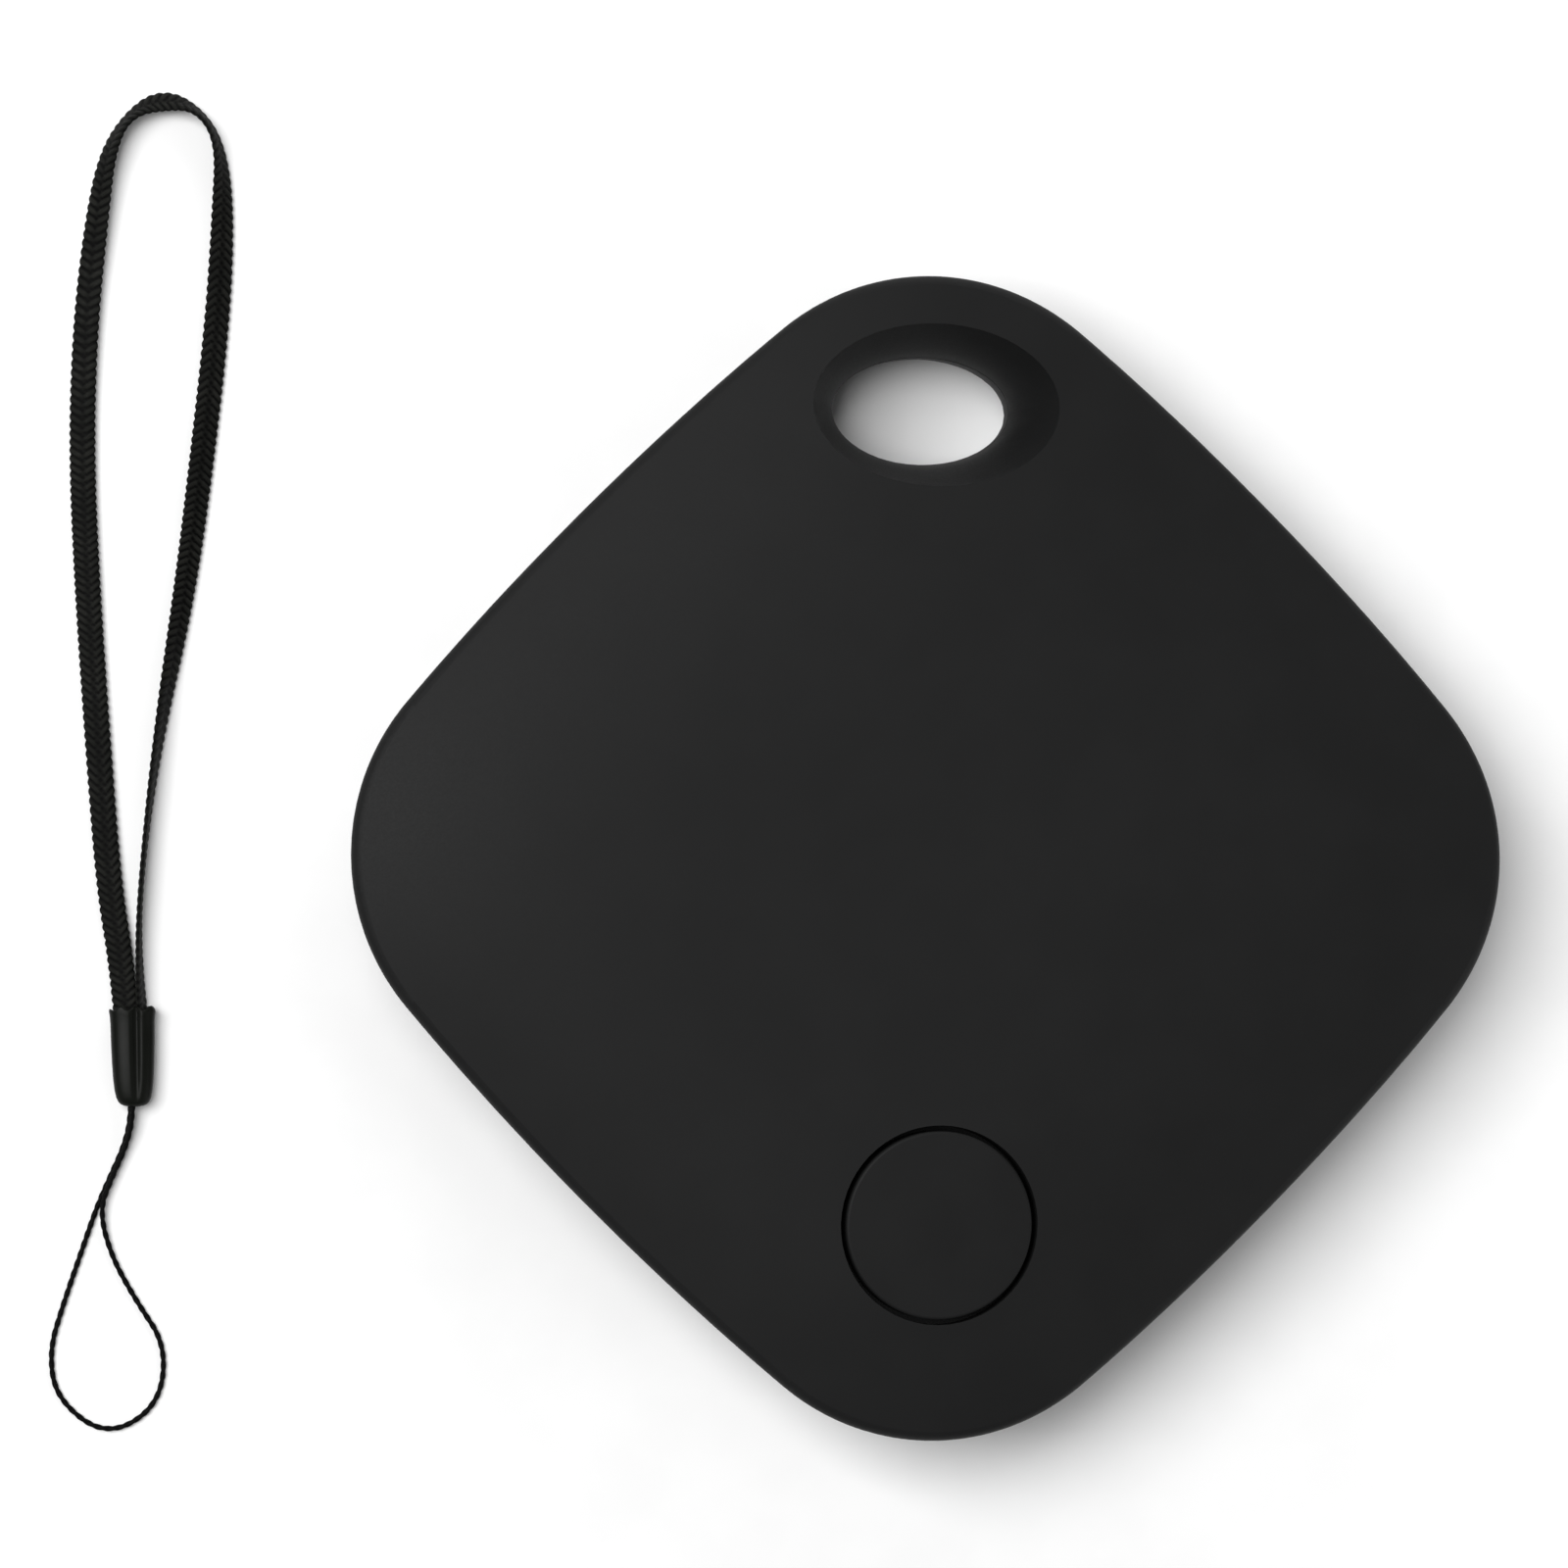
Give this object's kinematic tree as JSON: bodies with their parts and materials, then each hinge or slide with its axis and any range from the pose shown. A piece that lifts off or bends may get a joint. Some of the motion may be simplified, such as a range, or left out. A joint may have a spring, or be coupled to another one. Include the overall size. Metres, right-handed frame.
{
  "type": "wireless tracker tag",
  "caption": "Rounded-square key-finder tag with domed front, oval lanyard eye, flush push button, lift-off cover and coin cell, with a braided loop laid beside it.",
  "frame": {"origin": "middle of the flat rear face of the tag, which lies on its back", "axes": "+Z out of the domed front face, +Y towards the lanyard eye, +X right as seen from the front"},
  "size_m": [0.0591, 0.0549, 0.0082],
  "materials": {
    "case_plastic": "satin, finely spark-eroded",
    "button_plastic": "satin",
    "silicone": "matte translucent grey",
    "foam": "open-cell foam",
    "board": "satin solder mask",
    "screw_steel": "zinc plated",
    "chip_resin": "moulded epoxy",
    "crystal_metal": "nickel lid",
    "ceramic_white": "fired ceramic",
    "ferrite": "sintered",
    "capacitor_ceramic": "fired ceramic",
    "resistor_body": "glazed",
    "switch_plastic": "satin",
    "switch_steel": "stamped stainless",
    "cradle_plastic": "natural nylon",
    "contact_metal": "gold-flashed spring bronze",
    "cell_steel": "brushed nickel-plated",
    "cell_gasket": "polypropylene",
    "sounder_brass": "rolled",
    "braid": "braided polyester",
    "cord_end_plastic": "moulded soft plastic",
    "string_fibre": "waxed twisted thread"
  },
  "bodies": {
    "case": {"rear_cover": "case_plastic", "case_seal": "silicone", "circuit_board": "board", "board_screws": "screw_steel", "radio_chip": "chip_resin", "main_crystal": "crystal_metal", "sleep_crystal": "crystal_metal", "chip_antenna": "ceramic_white", "boost_inductor": "ferrite", "driver_transistor": "chip_resin", "capacitors": "capacitor_ceramic", "resistors": "resistor_body", "switch_base": "switch_plastic", "switch_frame": "switch_steel", "battery_cradle": "cradle_plastic", "battery_contact_positive": "contact_metal", "battery_contact_negative": "contact_metal", "buzzer_plate": "sounder_brass", "buzzer_ceramic": "ceramic_white", "buzzer_contacts": "contact_metal"},
    "cover": {"front_cover": "case_plastic", "battery_pad": "foam"},
    "button": {"button_cap": "button_plastic", "button_pad": "silicone"},
    "plunger": {"switch_plunger": "switch_plastic"},
    "battery": {"battery_can": "cell_steel", "battery_cap": "cell_steel", "battery_gasket": "cell_gasket"},
    "lanyard": {"lanyard_strap": "braid", "lanyard_crimp": "cord_end_plastic", "lanyard_string": "string_fibre"}
  },
  "joints": [
    {"name": "cover_lift", "type": "slide", "parent": "case", "child": "cover", "axis": [0, 0, 1], "range_m": [0, 0.02]},
    {"name": "battery_lift", "type": "slide", "parent": "case", "child": "battery", "axis": [0, 0, 1], "range_m": [0, 0.01]},
    {"name": "button_press", "type": "slide", "parent": "cover", "child": "button", "axis": [0, 0, -1], "range_m": [0, 0.0003], "stiffness_N_per_m": 5000},
    {"name": "switch_press", "type": "slide", "parent": "case", "child": "plunger", "axis": [0, 0, -1], "range_m": [0, 0.0003]},
    {"name": "lanyard_lift", "type": "slide", "parent": "case", "child": "lanyard", "axis": [0, 0, 1], "range_m": [0, 0.04]}
  ],
  "couplings": [
    {"joint": "battery_lift", "follows": "cover_lift", "ratio": 0.5},
    {"joint": "switch_press", "follows": "button_press", "ratio": 1}
  ]
}
